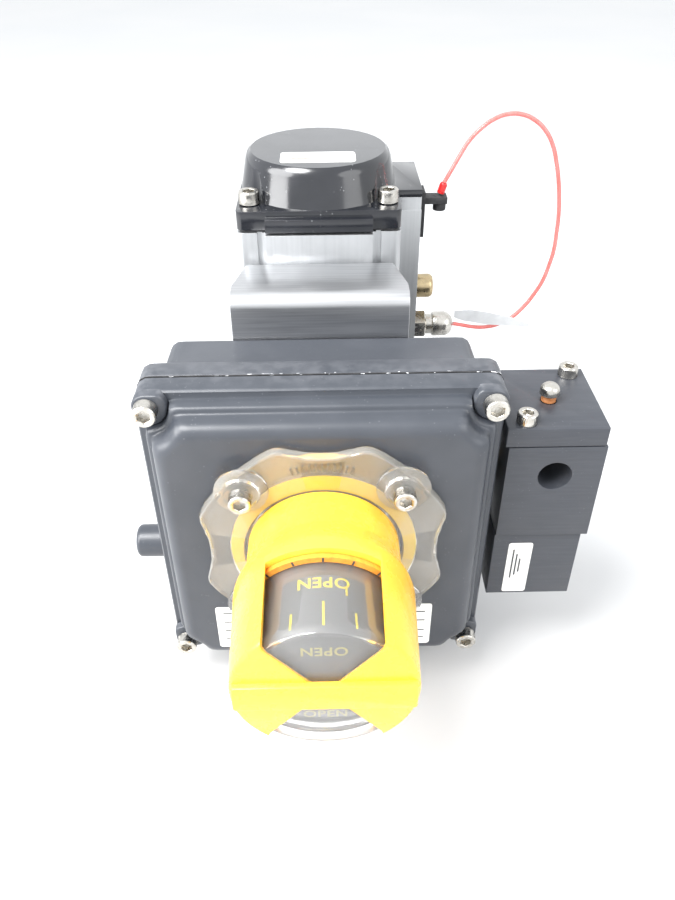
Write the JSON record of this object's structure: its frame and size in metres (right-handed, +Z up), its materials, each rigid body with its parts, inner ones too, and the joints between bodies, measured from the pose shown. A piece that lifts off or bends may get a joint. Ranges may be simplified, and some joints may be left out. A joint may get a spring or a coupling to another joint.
{
  "type": "rotary pneumatic actuator",
  "caption": "Quarter-turn rack-and-pinion pneumatic actuator with spring dome, bracket-mounted switch box, yellow position beacon and side solenoid valve.",
  "frame": {"origin": "centre of the lower end cap's flat outer face, which the unit stands on", "axes": "+Z up along the cylinder bore; the drive axis runs along Y at z = 104 mm, -Y towards the position beacon and +Y out of the valve-mounting pad; the air-port pad and the solenoid valve are on +X"},
  "size_m": [0.227, 0.2822, 0.2396],
  "materials": {
    "anodised": "satin",
    "cap_black": "gloss",
    "box_black": "satin",
    "valve_black": "satin",
    "stainless": "satin",
    "bracket_steel": "satin",
    "cast_metal": "matte",
    "steel": "satin",
    "brass": "satin",
    "polymer": "matte",
    "rubber": "matte",
    "yellow": "satin",
    "clear": "gloss",
    "drum_grey": "satin",
    "red": "satin",
    "red_clear": "gloss",
    "tag_grey": "satin",
    "switch_blue": "satin"
  },
  "bodies": {
    "frame": {"actuator_body": "anodised", "upper_end_cap": "cap_black", "lower_end_cap": "cap_black", "upper_cap_gasket": "rubber", "lower_cap_gasket": "rubber", "upper_cap_screw_1": "stainless", "upper_cap_screw_2": "stainless", "upper_cap_screw_3": "stainless", "upper_cap_screw_4": "stainless", "return_spring": "steel", "front_bearing": "polymer", "rear_bearing": "polymer", "stop_screw_1": "stainless", "stop_screw_2": "stainless", "upper_port_plug": "brass", "lower_port_fitting": "stainless", "seal_tab": "rubber", "seal_ferrule": "red", "seal_wire": "red_clear", "seal_tag": "tag_grey", "mounting_bracket": "bracket_steel", "bracket_screw_1": "stainless", "bracket_screw_2": "stainless", "bracket_screw_3": "stainless", "bracket_screw_4": "stainless", "enclosure_base": "box_black", "enclosure_cover": "box_black", "cover_gasket": "rubber", "cover_screw_1": "stainless", "cover_screw_2": "stainless", "cover_screw_3": "stainless", "cover_screw_4": "stainless", "open_switch": "switch_blue", "closed_switch": "switch_blue", "terminal_block": "polymer", "blanking_plug": "box_black", "beacon_dome": "clear", "beacon_shroud": "yellow", "beacon_ring": "yellow", "beacon_screw_1": "stainless", "beacon_screw_2": "stainless", "beacon_screw_3": "stainless", "beacon_screw_4": "stainless", "valve_body": "valve_black", "valve_end_plate": "valve_black", "pilot_block": "valve_black", "solenoid_coil": "valve_black", "valve_nipple": "brass"},
    "drive": {"pinion_shaft": "steel", "shaft_coupling": "stainless", "indicator_shaft": "stainless", "open_cam": "polymer", "closed_cam": "red", "indicator_drum": "drum_grey"},
    "upper_rack": {"upper_piston": "cast_metal", "upper_piston_seal": "rubber"},
    "lower_rack": {"lower_piston": "cast_metal", "lower_piston_seal": "rubber"},
    "override": {"override_button": "stainless"},
    "spool": {"valve_spool": "stainless"}
  },
  "joints": [
    {"name": "shaft_turn", "type": "hinge", "parent": "frame", "child": "drive", "pos_m": [0, 0, 0.104], "axis": [0, 1, 0], "range_deg": [0, 90], "stiffness_Nm_per_rad": 1.5, "springref_deg": -34.38},
    {"name": "upper_piston_slide", "type": "slide", "parent": "frame", "child": "upper_rack", "axis": [0, 0, 1], "range_m": [0, 0.0284], "deforming": ["return_spring"]},
    {"name": "lower_piston_slide", "type": "slide", "parent": "frame", "child": "lower_rack", "axis": [0, 0, -1], "range_m": [0, 0.0284]},
    {"name": "override_press", "type": "slide", "parent": "frame", "child": "override", "axis": [0, 0, -1], "range_m": [0, 0.0025], "stiffness_N_per_m": 300, "springref_m": -0.01},
    {"name": "spool_slide", "type": "slide", "parent": "frame", "child": "spool", "axis": [0, 0, -1], "range_m": [0, 0.0026]}
  ],
  "couplings": [
    {"joint": "upper_piston_slide", "follows": "shaft_turn", "m_per_rad": 0.018},
    {"joint": "lower_piston_slide", "follows": "shaft_turn", "m_per_rad": 0.018},
    {"joint": "spool_slide", "follows": "override_press", "ratio": 1}
  ]
}
